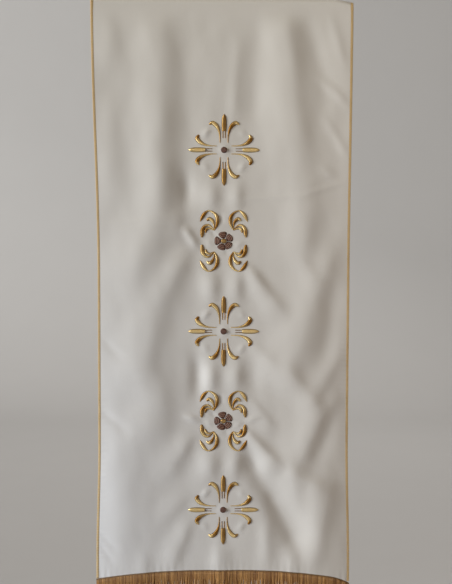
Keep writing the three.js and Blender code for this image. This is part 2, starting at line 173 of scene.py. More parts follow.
# Folds of the front, in millimetres: a soft ridge, or a trough where its height is negative, along a line
# from one point to another. The lean makes its right flank steeper than its left.
FOLD_COLUMNS = ("x0", "drop0", "x1", "drop1", "width0", "width1", "height", "lean", "fade")
FOLDS = (
    # long ridge down the upper left, between two hollows
    (-128, 35, -123, 190, 36, 38, 4.4, 0.1, 60),
    (-124, 190, -130, 480, 37, 36, 7.0, 0.1, 60),
    (-220, 30, -217, 130, 20, 22, 1.8, 0.0, 40),
    (-217, 220, -212, 370, 22, 22, 1.9, 0.0, 50),
    (-70, 70, -68, 300, 26, 26, -1.2, 0.0, 70),
    (-112, 305, -112, 390, 22, 22, 2.0, 0.1, 40),
    (-71, 335, -70, 382, 14, 14, -3.4, 0.0, 30),
    (-92, 408, -88, 455, 16, 18, 2.2, 0.1, 25),
    # the same ridge lower down, with a slanting fold drawn from the first rose
    (-166, 450, -162, 560, 40, 42, 6.0, 0.1, 60),
    (-78, 488, -128, 590, 22, 34, 5.2, 0.1, 35),
    (-137, 590, -160, 740, 38, 44, 6.2, 0.1, 40),
    (-49, 680, -48, 762, 16, 16, -4.4, 0.0, 32),
    # folds fanning out from the lower motifs to the left hem
    (-120, 735, -146, 850, 36, 42, 5.6, 0.1, 45),
    (-63, 838, -114, 912, 16, 28, 3.4, 0.2, 28),
    (-72, 955, -130, 1010, 16, 24, 1.6, 0.2, 35),
    (-66, 1005, -102, 1090, 15, 20, 2.6, 0.2, 28),
    (-200, 830, -196, 1045, 50, 54, 4.2, -0.3, 60),
    # long ridge down the upper right, between two hollows
    (115, 25, 128, 165, 34, 38, 5.2, 0.25, 45),
    (128, 165, 142, 300, 42, 42, 6.4, 0.2, 45),
    (146, 310, 160, 395, 46, 40, 4.8, 0.2, 45),
    (166, 50, 194, 175, 20, 22, -2.2, 0.0, 45),
    (67, 55, 55, 250, 28, 26, -2.3, 0.0, 50),
    (24, 100, 18, 225, 13, 11, 1.2, 0.0, 40),
    # the same ridge lower down, buckled from side to side, and its hollows
    (161, 398, 145, 492, 32, 30, 4.8, 0.2, 40),
    (146, 492, 186, 552, 18, 20, 1.6, 0.2, 28),
    (206, 478, 166, 590, 26, 34, 3.4, 0.2, 45),
    (166, 590, 117, 726, 38, 42, 5.4, 0.1, 42),
    (212, 560, 194, 700, 20, 20, -2.2, 0.0, 40),
    (122, 708, 186, 790, 24, 24, 4.4, 0.2, 32),
    (219, 679, 174, 766, 18, 18, 2.4, 0.1, 28),
    (214, 764, 188, 800, 18, 22, 1.8, 0.2, 28),
    (188, 798, 133, 911, 28, 28, 4.6, 0.15, 30),
    (212, 795, 178, 880, 18, 18, -2.0, 0.0, 30),
    (137, 912, 198, 944, 20, 24, 4.6, 0.2, 28),
    (205, 935, 172, 1085, 28, 30, 4.4, 0.2, 42),
    # folds drawn from the motifs to that ridge
    (45, 508, 110, 596, 12, 22, 3.8, 0.25, 28),
    (52, 655, 112, 715, 12, 22, 1.6, 0.2, 28),
    (58, 690, 58, 752, 16, 16, -1.6, 0.0, 35),
    (55, 770, 96, 822, 11, 16, 1.8, 0.25, 22),
    (39, 823, 105, 894, 11, 22, 4.8, 0.3, 22),
    (52, 862, 72, 928, 16, 19, -5.0, 0.0, 32),
    (84, 932, 154, 1062, 25, 30, -8.0, -0.2, 36),
    (124, 885, 138, 965, 26, 28, 2.8, 0.3, 32),
    # two small pleats between each motif and the next
    (-22, 340, -22, 410, 18, 18, 4.2, 0.1, 45),
    (24, 340, 24, 410, 15, 15, 3.8, 0.1, 45),
    (-22, 512, -22, 583, 18, 18, 4.8, 0.1, 45),
    (24, 512, 24, 583, 16, 16, 4.2, 0.1, 45),
    (-23, 686, -24, 758, 17, 17, 4.8, 0.1, 45),
    (24, 686, 22, 758, 16, 16, 4.2, 0.1, 45),
    (-24, 856, -23, 930, 21, 21, 5.4, 0.1, 45),
    (23, 856, 20, 927, 16, 16, 4.0, 0.1, 45),
    # flutes over the hem
    (-152, 1068, -155, 1110, 14, 14, 1.4, 0.0, 22),
    (-8, 1050, -8, 1110, 18, 20, 3.4, -0.3, 35),
    (82, 1012, 86, 1085, 14, 14, 2.2, 0.0, 28),
    (132, 1064, 136, 1110, 14, 14, 2.0, 0.0, 22),
)
# Finer creases that only the visible cloth has, in the same columns
CREASES = (
    # lines left by folding the cloth away
    (-241, 431, -65, 406, 6, 6, 0.45, 0.0, 20),
    (-241, 445, -75, 420, 6, 6, 0.35, 0.0, 20),
    (40, 378, 150, 372, 6, 6, 0.6, 0.0, 20),
    (150, 372, 238, 343, 6, 6, 0.7, 0.0, 20),
    # short puckers beside the roses
    (-74, 436, -52, 468, 8, 8, 2.8, 0.0, 12),
    (-72, 798, -50, 806, 7, 7, 2.2, 0.0, 12),
    (48, 806, 66, 800, 6, 6, 1.4, 0.0, 12),
    # slight wrinkles beside the cords
    (-240, 1028, -206, 1062, 6, 9, -0.7, 0.0, 12),
    (-238, 1052, -214, 1086, 5, 7, -0.8, 0.0, 12),
    (-238, 786, -188, 828, 8, 10, -1.1, 0.0, 20),
    (-234, 648, -198, 686, 8, 9, -0.8, 0.0, 18),
    (200, 20, 228, 120, 10, 10, 0.8, 0.0, 30),
    (184, 150, 236, 196, 9, 10, 1.2, 0.0, 22),
    (194, 226, 236, 292, 9, 10, 1.0, 0.0, 22),
    (186, 318, 214, 336, 9, 9, 0.8, 0.0, 16),
)
# Puckers around a cross, from its centre, in the same columns: one across each diagonal
CROSS_PUCKERS = (
    (-39, -27, -29, -39, 5.5, 5.5, 1.6, 0.0, 7),
    (40, -28, 31, -37, 5.5, 5.5, 1.0, 0.0, 7),
    (-40, 28, -31, 37, 5.5, 5.5, 1.0, 0.0, 7),
    (40, 27, 30, 39, 5.5, 5.5, 1.4, 0.0, 7),
)
# Puckers around a rose, from its centre, in the same columns
ROSE_PUCKERS = (
    (-24, -18, -15, -8, 3.0, 3.0, -1.4, 0.0, 4),
    (2, 20, 10, 25, 3.0, 3.0, -1.3, 0.0, 4),
    (23, 10, 34, 4, 4.0, 4.0, 1.0, 0.0, 5),
    (-6, -52, -4, -34, 3.5, 3.5, -1.0, 0.0, 6),
    (-32, 0, -23, 9, 4.0, 4.0, 1.0, 0.0, 5),
)
FOLD_TABLE_UNITS = (MM, MM, MM, MM, MM, MM, MM, 1, MM)

# Faint waves of the cloth: wavelengths across and down and height, in millimetres, and start, in turns
RIPPLE_COLUMNS = ("across", "down", "height", "turn")
RIPPLE_TABLE_UNITS = (MM, MM, MM, 1)
RIPPLES = (
    (47, 310, 0.07, 0.1),
    (-33, 190, 0.04, 0.6),
    (83, -140, 0.10, 0.3),
    (-61, -97, 0.06, 0.8),
)
RIPPLE_BEND = 1.3

# Puckers along the sewn edges, in millimetres: which edge, between which drops, pitch and height
SEAM_COLUMNS = ("side", "drop0", "drop1", "pitch", "height")
SEAM_PUCKERS = (
    (1, 620, 960, 9.5, 0.55),
    (1, 960, 1120, 14, 0.35),
    (-1, 700, 1120, 12.5, 0.45),
    (-1, 120, 420, 17, 0.25),
)
SEAM_REACH = 0.011
SEAM_FADE = 60  # millimetres over which a row of puckers starts, and ends
SEAM_UNEVEN = 0.041
SEAM_SHIFT = 1.6  # how far that unevenness moves a pucker, as an angle of its wave
HEM_PUCKER_PITCH = 0.0125
HEM_PUCKER_HEIGHT = 0.00028
HEM_PUCKER_REACH = 0.016
HEM_PUCKER_UNEVEN = 0.033
HEM_PUCKER_SHIFT = 1.8
# Share of their height that the hem's puckers have, and how it rises and falls along the hem
HEM_PUCKER_SHARE = 0.6
HEM_PUCKER_CHANGE = 0.4
HEM_PUCKER_RATE = 1.7
HEM_PUCKER_START = 1.0
HALO_RADIUS = 0.0135
HALO_HEIGHT = 0.0008
HALO_STEEPNESS = 1.6

MOTIF_COUNT = 5
SOLID_THICKNESS = 0.0015
TOP_FADE = 0.060
DRAW_IN_DROP = 0.520
HEM_FLARE_START = 0.850
HEM_FLARE_LENGTH = 0.240
CORNER_POWER = 2.6
SAG_START = 0.86
STIFF_ACROSS = 0.062
STIFF_DOWN = 0.070
STIFF_SHARE = 0.85
CURL_START = 0.165
CURL_REACH = 0.080
CURL_LEFT = 0.0075
CURL_RIGHT = 0.007
CURL_FIRST_DROP = 0.250
CURL_FULL_DROP = 0.750


def smooth(value):
    value = np.clip(value, 0, 1)
    return value * value * (3 - 2 * value)


def mix(a, b, share):
    return a + (b - a) * share


def joined(*parts):
    """Arrays spread to one shape and put side by side, as the last axis of one array"""
    return np.stack(np.broadcast_arrays(*parts), -1)


def walked_along(points):
    """How far along a line of points each of them lies"""
    return np.concatenate([[0], np.cumsum(np.linalg.norm(np.diff(points, axis=0), axis=1))])


def read_off(points, walked, places):
    """Rows of three numbers, read off a line at places along it"""
    return np.stack([np.interp(places, walked, points[:, i]) for i in range(3)], -1)


def fold_height(row, x, drop):
    fold = dict(zip(FOLD_COLUMNS, np.multiply(row, FOLD_TABLE_UNITS)))
    dx = fold["x1"] - fold["x0"]
    dy = fold["drop1"] - fold["drop0"]
    span = math.hypot(dx, dy)
    along = ((x - fold["x0"]) * dx + (drop - fold["drop0"]) * dy) / span ** 2
    aside = ((x - fold["x0"]) * dy - (drop - fold["drop0"]) * dx) / span
    width = mix(fold["width0"], fold["width1"], np.clip(along, 0, 1))
    flank = np.where(aside > 0, width * (1 - fold["lean"]), width * (1 + fold["lean"]))
    fade = fold["fade"] / span
    ends = smooth((along + fade) / (2 * fade)) * smooth((1 + fade - along) / (2 * fade))
    return fold["height"] * np.exp(-(aside / flank) ** 2) * ends


def motif_drops():
    return [stitch().first_drop + i * stitch().spacing for i in range(MOTIF_COUNT)]


def slackness(x, drop):
    """1 on the bare cloth, less on the cloth that a motif stiffens"""
    slack = np.ones_like(x)
    for centre in motif_drops():
        away = (x / STIFF_ACROSS) ** 2 + ((drop - centre) / STIFF_DOWN) ** 2
        slack -= STIFF_SHARE * np.exp(-away ** 2)
    return np.maximum(slack, 0)


def edge_curl(x, drop):
    low = np.clip((drop - CURL_FIRST_DROP) / (CURL_FULL_DROP - CURL_FIRST_DROP), 0, 1)
    out = np.clip((np.abs(x) - CURL_START) / CURL_REACH, 0, 1)
    return -np.where(x < 0, CURL_LEFT, CURL_RIGHT) * low * out ** 2


def motif_puckers(x, drop):
    """Small puckers around each cross and rose, and the padded round under each cross's dot"""
    total = np.zeros_like(x)
    for centre in motif_drops()[0::2]:
        total += sum(fold_height(row, x, drop - centre) for row in CROSS_PUCKERS)
        total += HALO_HEIGHT * smooth(HALO_STEEPNESS * (1 - np.hypot(x, drop - centre) / HALO_RADIUS))
    for centre in motif_drops()[1::2]:
        total += sum(fold_height(row, x, drop - centre) for row in ROSE_PUCKERS)
    return total


def ripples(x, drop):
    """Faint unevenness all over the cloth"""
    total = np.zeros_like(x)
    for row in RIPPLES:
        ripple = dict(zip(RIPPLE_COLUMNS, np.multiply(row, RIPPLE_TABLE_UNITS)))
        place = x / ripple["across"] + drop / ripple["down"]
        bend = np.sin(drop / ripple["across"] * RIPPLE_BEND + ripple["turn"])
        total += ripple["height"] * np.sin(TURN * (place + ripple["turn"]) + bend)
    return total


def seam_puckers(x, drop):
    """Puckers where the cords and the fringe are sewn on"""
    total = np.zeros_like(x)
    aside = x - centre_line(drop)
    for row in SEAM_PUCKERS:
        seam = dict(zip(SEAM_COLUMNS, row))
        near = (half_width(drop) - seam["side"] * aside) / SEAM_REACH
        start = smooth((drop / MM - seam["drop0"]) / SEAM_FADE)
        end = smooth((seam["drop1"] - drop / MM) / SEAM_FADE)
        wave = np.sin(drop / MM / seam["pitch"] * TURN + SEAM_SHIFT * np.sin(drop / SEAM_UNEVEN))
        total += seam["height"] * MM * np.exp(-near ** 2) * wave * start * end
    above = (hem_drop(np.clip(aside / half_width(drop), -1, 1)) - drop) / HEM_PUCKER_REACH
    wave = np.sin(x / HEM_PUCKER_PITCH * TURN + HEM_PUCKER_SHIFT * np.sin(x / HEM_PUCKER_UNEVEN))
    change = np.sin(x / HEM_PUCKER_UNEVEN * HEM_PUCKER_RATE + HEM_PUCKER_START)
    uneven = HEM_PUCKER_SHARE + HEM_PUCKER_CHANGE * change
    return total + HEM_PUCKER_HEIGHT * np.exp(-above ** 2) * wave * uneven


def relief(x, drop):
    """How far the middle of the cloth stands forward of its upright plane"""
    folds = sum(fold_height(row, x, drop) for row in FOLDS) * slackness(x, drop)
    fine = sum(fold_height(row, x, drop) for row in CREASES) + ripples(x, drop)
    sewn = motif_puckers(x, drop) + seam_puckers(x, drop)
    return (folds + edge_curl(x, drop) + fine + sewn) * smooth(drop / TOP_FADE)


def half_width(drop):
    drawn = cloth().draw_in * smooth(drop / DRAW_IN_DROP)
    flare = cloth().hem_flare * smooth((drop - HEM_FLARE_START) / HEM_FLARE_LENGTH)
    return cloth().width / 2 - drawn + flare


def centre_line(drop):
    return cloth().top_shift * (1 - smooth(drop / DRAW_IN_DROP))


def sag(u):
    return cloth().right_sag * np.maximum(0, (u - SAG_START) / (1 - SAG_START)) ** 2


def bend_centre():
    """Height of the bend's axis, so that the underside of the solid's fold lies at the origin"""
    return SOLID_THICKNESS / 2 - cloth().bend_radius


def hem_drop(u):
    corner = np.where(u < 0, cloth().left_corner, cloth().right_corner)
    return cloth().front_drop + corner * np.abs(u) ** CORNER_POWER - bend_centre()


def hanging_point(u, share):
    """Middle of the hanging front, with u from -1 to 1 across and a share of the way to the hem"""
    start = -bend_centre()
    drop = start + share * (hem_drop(u) - start)
    x = centre_line(drop) + u * half_width(drop)
    return np.stack([x, -cloth().bend_radius - relief(x, drop), -drop - sag(u)], -1)


def bend_point(u, angle):
    radius = cloth().bend_radius
    x = cloth().top_shift + u * cloth().width / 2
    y = -radius * np.sin(angle)
    z = bend_centre() + radius * np.cos(angle) - sag(u)
    return joined(x, y, z)


def flap_point(u, back):
    slope = cloth().flap_slope
    return bend_point(u, -slope) + joined(0 * u, back * math.cos(slope), -back * math.sin(slope))


def cloth_line(u, flap_rows, bend_rows, front_rows):
    """Rows of points from the end of the flap, over the bend and down to the hem, for each u"""
    rows = [flap_point(u, cloth().flap_length * (1 - i / flap_rows)) for i in range(flap_rows)]
    for i in range(bend_rows):
        rows.append(bend_point(u, mix(-cloth().flap_slope, math.pi / 2, i / bend_rows)))
    for i in range(front_rows + 1):
        rows.append(hanging_point(u, np.full_like(u, i / front_rows)))
    return np.array(rows)


# Making meshes

def settle(piece, slot, *nodes):
    """Fixes a finished piece to the part, and hides the solids that it stands for"""
    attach(piece, "root")
    if nodes:
        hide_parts(*nodes)
    return piece


def set_uvs(mesh, uvs):
    """Gives the mesh one UV pair for each point"""
    layer = mesh.uv_layers.active or mesh.uv_layers.new(name="UVMap")
    corners = np.zeros(len(mesh.loops), np.int32)
    mesh.loops.foreach_get("vertex_index", corners)
    layer.data.foreach_set("uv", uvs[corners].astype(np.float32).ravel())


TONE_MIDDLE = 0.5


class Skins:
    """Gathers closed skins over rings of points into one mesh"""

    def __init__(self):
        self.points, self.faces, self.uvs, self.tones = [], [], [], []
        self.count = 0

    def add(self, rings, uvs, tone=TONE_MIDDLE):
        """Closes a skin over rings of points, with one tone from dark to light, or one for each ring"""
        rows, sides = rings.shape[:2]
        ring, side = np.meshgrid(np.arange(rows - 1) * sides, np.arange(sides), indexing="ij")
        beside = (side + 1) % sides
        quads = np.stack([ring + side, ring + beside, ring + sides + beside, ring + sides + side], -1)
        self.faces.extend((quads.reshape(-1, 4) + self.count).tolist())
        self.faces.append((self.count + np.arange(sides)[::-1]).tolist())
        self.faces.append((self.count + (rows - 1) * sides + np.arange(sides)).tolist())
        self.points.append(rings.reshape(-1, 3))
        self.uvs.append(uvs.reshape(-1, 2))
        self.tones.append(np.repeat(np.broadcast_to(tone, rows), sides))
        self.count += rows * sides

    def piece(self, name, finish):
        mesh = bpy.data.meshes.new(name)
        mesh.from_pydata(np.concatenate(self.points).tolist(), [], self.faces)
        set_uvs(mesh, np.concatenate(self.uvs))
        tones = mesh.attributes.new("tone", "FLOAT", "POINT")
        tones.data.foreach_set("value", np.concatenate(self.tones).astype(np.float32))
        mesh.polygons.foreach_set("use_smooth", np.ones(len(mesh.polygons), bool))
        mesh.materials.append(finish)
        piece = bpy.data.objects.new(name, mesh)
        bpy.context.scene.collection.objects.link(piece)
        return piece


def unit(vectors):
    return vectors / np.linalg.norm(vectors, axis=-1, keepdims=True)


def tube_rings(points, radii, sides, reference, lobes=0, lobe_depth=0.0, twist=0.0, flatness=1.0):
    """Rings around a line of points: lobed like plied yarn, or flattened towards the reference"""
    along = unit(np.gradient(points, axis=0))
    side = unit(np.cross(along, reference))
    up = np.cross(along, side) * flatness
    steps = walked_along(points)
    turn = np.arange(sides) / sides * TURN
    depth = 1 + lobe_depth * np.cos(lobes * (turn[None] - twist * steps[:, None])) if lobes else 1
    radius = (radii[:, None] * depth)[..., None]
    rings = points[:, None] + radius * (side[:, None] * np.cos(turn)[None, :, None]
                                        + up[:, None] * np.sin(turn)[None, :, None])
    return rings, joined(turn[None] / TURN, steps[:, None])


# Finishes

# Weave of the cloth
TWILL_PITCH = 0.0009
TWILL_SHARE = 0.6
WEFT_PITCH = 0.0006
WEFT_SHARE = 0.4
WEFT_SLANT = 0.3
SLUB_SCALE_ACROSS = 900.0
SLUB_SCALE_ALONG = 60.0
# Tint of the cloth: shares of its patches and slubs, and the darkest it gets
PATCH_SHARE = 0.6
SLUB_SHARE = 0.4
CLOTH_DARKEST = 0.93
CLOTH_ROUGHNESS = 0.5
PATCH_ROUGHNESS = 0.12
FLOOR_DARKEST = 0.97
# Tint of a yarn: shares of its patterns, less a constant
FIBRES_AROUND = 5.0
FIBRE_SHARE = 0.12
FLECK_SHARE = 0.4
FLECK_ROUGHNESS = 0.15
YARN_SHADE_SHARE = 0.4
YARN_TONE_SHARE = 0.7
YARN_LESS = 0.45
# Tint of satin stitches, in the same way; the tone they take also carries a painted sheen
THREAD_SCALE_ACROSS = 1.5
THREAD_SCALE_ALONG = 1500.0
THREAD_SHARE = 0.5
THREAD_ROUGHNESS = 0.12
SATIN_SHADE_SHARE = 0.3
SATIN_TONE_SHARE = 1.2
SATIN_LESS = 0.45
# Painted shade towards both edges of the stitches: where it starts, and how strong it is
SATIN_EDGE_SHADE_START = 0.55
SATIN_EDGE_SHADE_SHARE = 0.8


def maths(operation, reflected=False):
    """A method that adds a Math node for two values"""
    def method(self, other):
        first, second = (other, self) if reflected else (self, other)
        return self.finish.node("ShaderNodeMath", {"operation": operation}, {0: first, 1: second})
    return method


class Value:
    """A shader value: arithmetic on it adds the nodes that work it out"""

    __add__ = maths("ADD")
    __radd__ = maths("ADD", reflected=True)
    __sub__ = maths("SUBTRACT")
    __rsub__ = maths("SUBTRACT", reflected=True)
    __mul__ = maths("MULTIPLY")
    __rmul__ = maths("MULTIPLY", reflected=True)

    def __init__(self, finish, socket):
        self.finish = finish
        self.socket = socket

    def __abs__(self):
        return self.finish.node("ShaderNodeMath", {"operation": "ABSOLUTE"}, {0: self})

    def sine(self):
        return self.finish.node("ShaderNodeMath", {"operation": "SINE"}, {0: self})

    def ramp(self, low, high):
        """0 below the low value, 1 above the high one, smooth between them"""
        return self.finish.node("ShaderNodeMapRange", {"interpolation_type": "SMOOTHSTEP"},
                                {0: self, 1: low, 2: high, 3: 0.0, 4: 1.0})

    def clamped(self):
        return self.finish.node("ShaderNodeClamp", {}, {0: self})


class Finish:
    """The node tree of one finish"""

    def __init__(self, name):
        self.material = bpy.data.materials.new(name)
        self.material.use_nodes = True
        self.tree = self.material.node_tree
        self.tree.nodes.clear()

    def node(self, kind, settings=None, inputs=None, output=0):
        """Adds a node, sets it, then links or fills its sockets"""
        node = self.tree.nodes.new(kind)
        for key, value in (settings or {}).items():
            setattr(node, key, value)
        for key, value in (inputs or {}).items():
            if isinstance(value, Value):
                self.tree.links.new(value.socket, node.inputs[key])
            else:
                node.inputs[key].default_value = value
        return None if output is None else Value(self, node.outputs[output])

    def uv(self):
        """The two numbers of the piece's UV map"""
        place = self.node("ShaderNodeTexCoord", output="UV")
        split = self.node("ShaderNodeSeparateXYZ", {}, {0: place})
        return split, Value(self, split.socket.node.outputs[1])

    def tone(self):
        return self.node("ShaderNodeAttribute", {"attribute_name": "tone"}, output="Fac")

    def vector(self, x, y, z=0.0):
        return self.node("ShaderNodeCombineXYZ", {}, {0: x, 1: y, 2: z})

    def noise(self, scale, detail=2.0, roughness=0.5, vector=None):
        place = vector or self.node("ShaderNodeTexCoord", output="Object")
        return self.node("ShaderNodeTexNoise", {}, {
            "Vector": place, "Scale": scale, "Detail": detail, "Roughness": roughness})

    def mix(self, share, first, second):
        tints = {0: share, 6: opaque(first), 7: opaque(second)}
        return self.node("ShaderNodeMix", {"data_type": "RGBA"}, tints, output=2)

    def bump(self, height, distance, strength):
        return self.node("ShaderNodeBump", {}, {
            "Height": height, "Distance": distance, "Strength": strength})

    def surface(self, sockets):
        shader = self.node("ShaderNodeBsdfPrincipled", {}, sockets)
        self.node("ShaderNodeOutputMaterial", {}, {"Surface": shader}, output=None)
        return self.material


def opaque(tint):
    return tint if isinstance(tint, Value) else (*tint, 1.0)


def shaded(tint, share):
    return tuple(share * part for part in tint)


def cream_cloth():
    """Smooth cream cloth with a fine twill"""
    finish = Finish("cream_twill")
    across, along = finish.uv()
    twill = ((across + along) * (TURN / TWILL_PITCH)).sine()
    weft = ((along - WEFT_SLANT * across) * (TURN / WEFT_PITCH)).sine()
    place = finish.vector(across * SLUB_SCALE_ACROSS, along * SLUB_SCALE_ALONG)
    slub = finish.noise(scale=1.0, detail=3.0, roughness=0.6, vector=place)
    patch = finish.noise(scale=14.0, detail=3.0)
    share = patch * PATCH_SHARE + slub * SLUB_SHARE
    weave = twill * TWILL_SHARE + weft * WEFT_SHARE + slub
    return finish.surface({
        "Base Color": finish.mix(share, shaded(cloth().tint, CLOTH_DARKEST), cloth().tint),
        "Roughness": patch * PATCH_ROUGHNESS + CLOTH_ROUGHNESS,
        "Normal": finish.bump(weave, distance=0.00006, strength=0.35),
        "Sheen Weight": 0.10,
        "Sheen Roughness": 0.4,
        "Specular IOR Level": 0.35,
    })


def yarn(name, light, dark, roughness, lay):
    """Plied yarn: fibres that wind along it, one turn in each lay, and uneven colour"""
    finish = Finish(name)
    around, along = finish.uv()
    fibre = ((around * FIBRES_AROUND + along * (1 / lay)) * TURN).sine()
    fleck = finish.noise(scale=900.0)
    shade = finish.noise(scale=60.0)
    share = fibre * FIBRE_SHARE + fleck * FLECK_SHARE + shade * YARN_SHADE_SHARE
    share = share + finish.tone() * YARN_TONE_SHARE - YARN_LESS
    return finish.surface({
        "Base Color": finish.mix(share.clamped(), dark, light),
        "Roughness": fleck * FLECK_ROUGHNESS + roughness,
        "Normal": finish.bump(fibre + fleck, distance=0.0001, strength=0.5),
        "Sheen Weight": 0.08,
        "Sheen Roughness": 0.35,
    })


def satin_thread(name, light, dark, edge, roughness, metallic):
    """Close satin stitches: uneven from thread to thread; painted shade darkens them towards both edges,
    where they go down into the cloth
    """
    finish = Finish(name)
    across, along = finish.uv()
    place = finish.vector(across * THREAD_SCALE_ACROSS, along * THREAD_SCALE_ALONG)
    each = finish.noise(scale=1.0, detail=1.0, vector=place)
    shade = finish.noise(scale=90.0, detail=1.0)
    share = each * THREAD_SHARE + shade * SATIN_SHADE_SHARE + finish.tone() * SATIN_TONE_SHARE
    body = finish.mix((share - SATIN_LESS).clamped(), dark, light)
    side = abs(across - 0.5) * 2.0
    return finish.surface({
        # painted shade towards both edges of the band
        "Base Color": finish.mix(side.ramp(SATIN_EDGE_SHADE_START, 1.0) * SATIN_EDGE_SHADE_SHARE, body, edge),
        "Roughness": each * THREAD_ROUGHNESS + roughness,
        "Metallic": metallic,
        "Specular IOR Level": 0.5,
    })


def pale_floor(tint):
    finish = Finish("pale_floor")
    patch = finish.noise(scale=6.0, detail=3.0)
    return finish.surface({
        "Base Color": finish.mix(patch, shaded(tint, FLOOR_DARKEST), tint),
        "Roughness": 0.8,
    })


# Cloth

FLAP_ROWS = 12
BEND_ROWS = 10
FRONT_ROWS = 318
COLUMNS = 130
EDGE_COLUMNS = 8
EDGE_STEP = 0.0025
SHARP_EDGE = math.radians(50)


def column_places():
    """u of each column of the cloth, closer together near the two edges"""
    edge = EDGE_COLUMNS * EDGE_STEP / (cloth().width / 2)
    left = np.linspace(-1, -1 + edge, EDGE_COLUMNS, endpoint=False)
    middle = np.linspace(-1 + edge, 1 - edge, COLUMNS + 1 - 2 * EDGE_COLUMNS)
    return np.concatenate([left, middle, -left[::-1]])


class COVER_OT_cloth(bpy.types.Operator):
    """Hang the cloth panel over the edge, in its folds"""

    bl_idname = "cover.cloth"
    bl_label = "Cloth panel"

    def execute(self, context):
        rows = FLAP_ROWS + BEND_ROWS + FRONT_ROWS
        bpy.ops.object.select_all(action="DESELECT")
        bpy.ops.mesh.primitive_grid_add(x_subdivisions=COLUMNS, y_subdivisions=rows, size=2, calc_uvs=True)
        piece = context.object
        piece.name = piece.data.name = "cover_cloth"
        mesh = piece.data
        flat = np.zeros(len(mesh.vertices) * 3)
        mesh.vertices.foreach_get("co", flat)
        flat = flat.reshape(-1, 3)
        column = np.rint((flat[:, 0] + 1) / 2 * COLUMNS).astype(int)
        row = np.rint((1 - flat[:, 1]) / 2 * rows).astype(int)
        places = column_places()
        hung = cloth_line(places, FLAP_ROWS, BEND_ROWS, FRONT_ROWS)
        mesh.vertices.foreach_set("co", hung[row, column].ravel())
        downs = walked_along(hung[:, COLUMNS // 2])
        uvs = np.stack([places[column] * cloth().width / 2, downs[row]], -1)
        set_uvs(mesh, uvs)
        mesh.polygons.foreach_set("use_smooth", np.ones(len(mesh.polygons), bool))
        mesh.materials.append(cream_cloth())
        mesh.update()
        wall = piece.modifiers.new("thickness", "SOLIDIFY")
        wall.thickness = cloth().thickness
        wall.offset = 0
        bpy.ops.object.modifier_apply(modifier=wall.name)
        bpy.ops.object.shade_smooth_by_angle(angle=SHARP_EDGE)
        settle(piece, "cream_cloth", "cloth_panel")
        return {"FINISHED"}


# Edge cords

CORD_STRANDS = 3
CORD_SIDES = 8
STRAND_SHARE = 0.44  # half the width of a strand, as a share of the cord's depth
STRAND_FLATNESS = 0.3
CORD_STEP = 0.0013
EDGE_INSIDE = 0.97  # as a share of the half width, where the edge's slope is taken
# Rows of points along an edge: over the flap, over the bend and down the front
EDGE_ROWS = (24, 16, 320)


def even_steps(points, step, count=None):
    """A line of points at even steps, or of so many points"""
    walked = walked_along(points)
    places = np.linspace(0, walked[-1], count or int(round(walked[-1] / step)) + 1)
    return read_off(points, walked, places)


class COVER_OT_cords(bpy.types.Operator):
    """Plait a flat gold cord along each long edge"""

    bl_idname = "cover.cords"
    bl_label = "Edge cords"

    def execute(self, context):
        tints = trim().cord_light, trim().cord_dark
        finish = yarn("gold_cord_yarn", *tints, roughness=0.42, lay=0.003)
        for name, side in (("edge_cord_left", -1), ("edge_cord_right", 1)):
            inside, edge = cloth_line(side * np.array([EDGE_INSIDE, 1.0]), *EDGE_ROWS).transpose(1, 0, 2)
            line = even_steps(edge, CORD_STEP)
            along = unit(np.gradient(line, axis=0))
            across = side * (line - even_steps(inside, CORD_STEP, len(line)))
            across = unit(across - along * np.sum(across * along, axis=1, keepdims=True))
            line += side * (trim().seam_gap + trim().cord_width / 2) * across
            plait = self.plait(line, across, np.cross(along, across))
            settle(plait.piece(name + "_plait", finish), "gold_cord", name)
        return {"FINISHED"}

    def plait(self, line, across, outward):
        """Three strands that cross from side to side, over and under each other"""
        walked = np.arange(len(line)) * CORD_STEP
        radius = trim().cord_depth * STRAND_SHARE
        skins = Skins()
        for strand in range(CORD_STRANDS):
            turn = (walked / trim().cord_lay + strand / CORD_STRANDS) * TURN
            swing = (trim().cord_width / 2 - radius) * np.sin(turn)
            cross = (trim().cord_depth / 2 - radius * STRAND_FLATNESS) * np.sin(2 * turn)
            route = line + swing[:, None] * across + cross[:, None] * outward
            radii = np.full(len(line), radius)
            rings, uvs = tube_rings(route, radii, CORD_SIDES, outward, flatness=STRAND_FLATNESS)
            skins.add(rings, uvs)
        return skins


# Fringe

STRAND_SIDES = 6
STRAND_RINGS = 13
STRAND_LAY = 0.0052
STRAND_PLIES = 2
STRAND_TUCK = 0.0025
STRAND_END = 0.75  # of its thickness is left at its cut end
STRAND_RANGE = (0.88, 1.1)  # thinnest and thickest, as shares of the diameter
PLY_DEPTH = 0.22
BACKWARD = np.array([0.0, 1.0, 0.0])
# How far strands differ, as standard deviations
PULL_SPREAD = 0.0020
CUT_SPREAD = 0.0012
DRIFT_SPREAD = 0.0006
BOW_SPREAD = 0.0005
SWING_SPREAD = 0.0008
# Tones of the strands; those in the layer behind are kept darker, painted shade in the gaps between the
# front strands
STRAND_DARKEST = -0.2
STRAND_LIGHTEST = 1.2
SHADED_BEHIND_LIGHTEST = 0.4
BOUND_TONE = 0.6  # share of its own tone that a strand shows where it is bound
LAYERS = 3
LAYER_DEPTH = 0.0010
CLUMP = 12
BOUND_LENGTH = 0.012  # strands lie close together this far down
BOUND_FADE = 0.010
HEADING_PITCH = 0.0012
HEADING_DEPTH = 0.0013
HEADING_SIDES = 8
HEADING_STEPS = 4  # along each rib
HEADING_LOW = 0.75  # depth between two ribs, as a share
HEADING_LIGHT = 1.5
SEED = 7


def fringe_reach():
    """u at the outer side of each cord"""
    return 1 + (trim().seam_gap + trim().cord_width) / (cloth().width / 2)


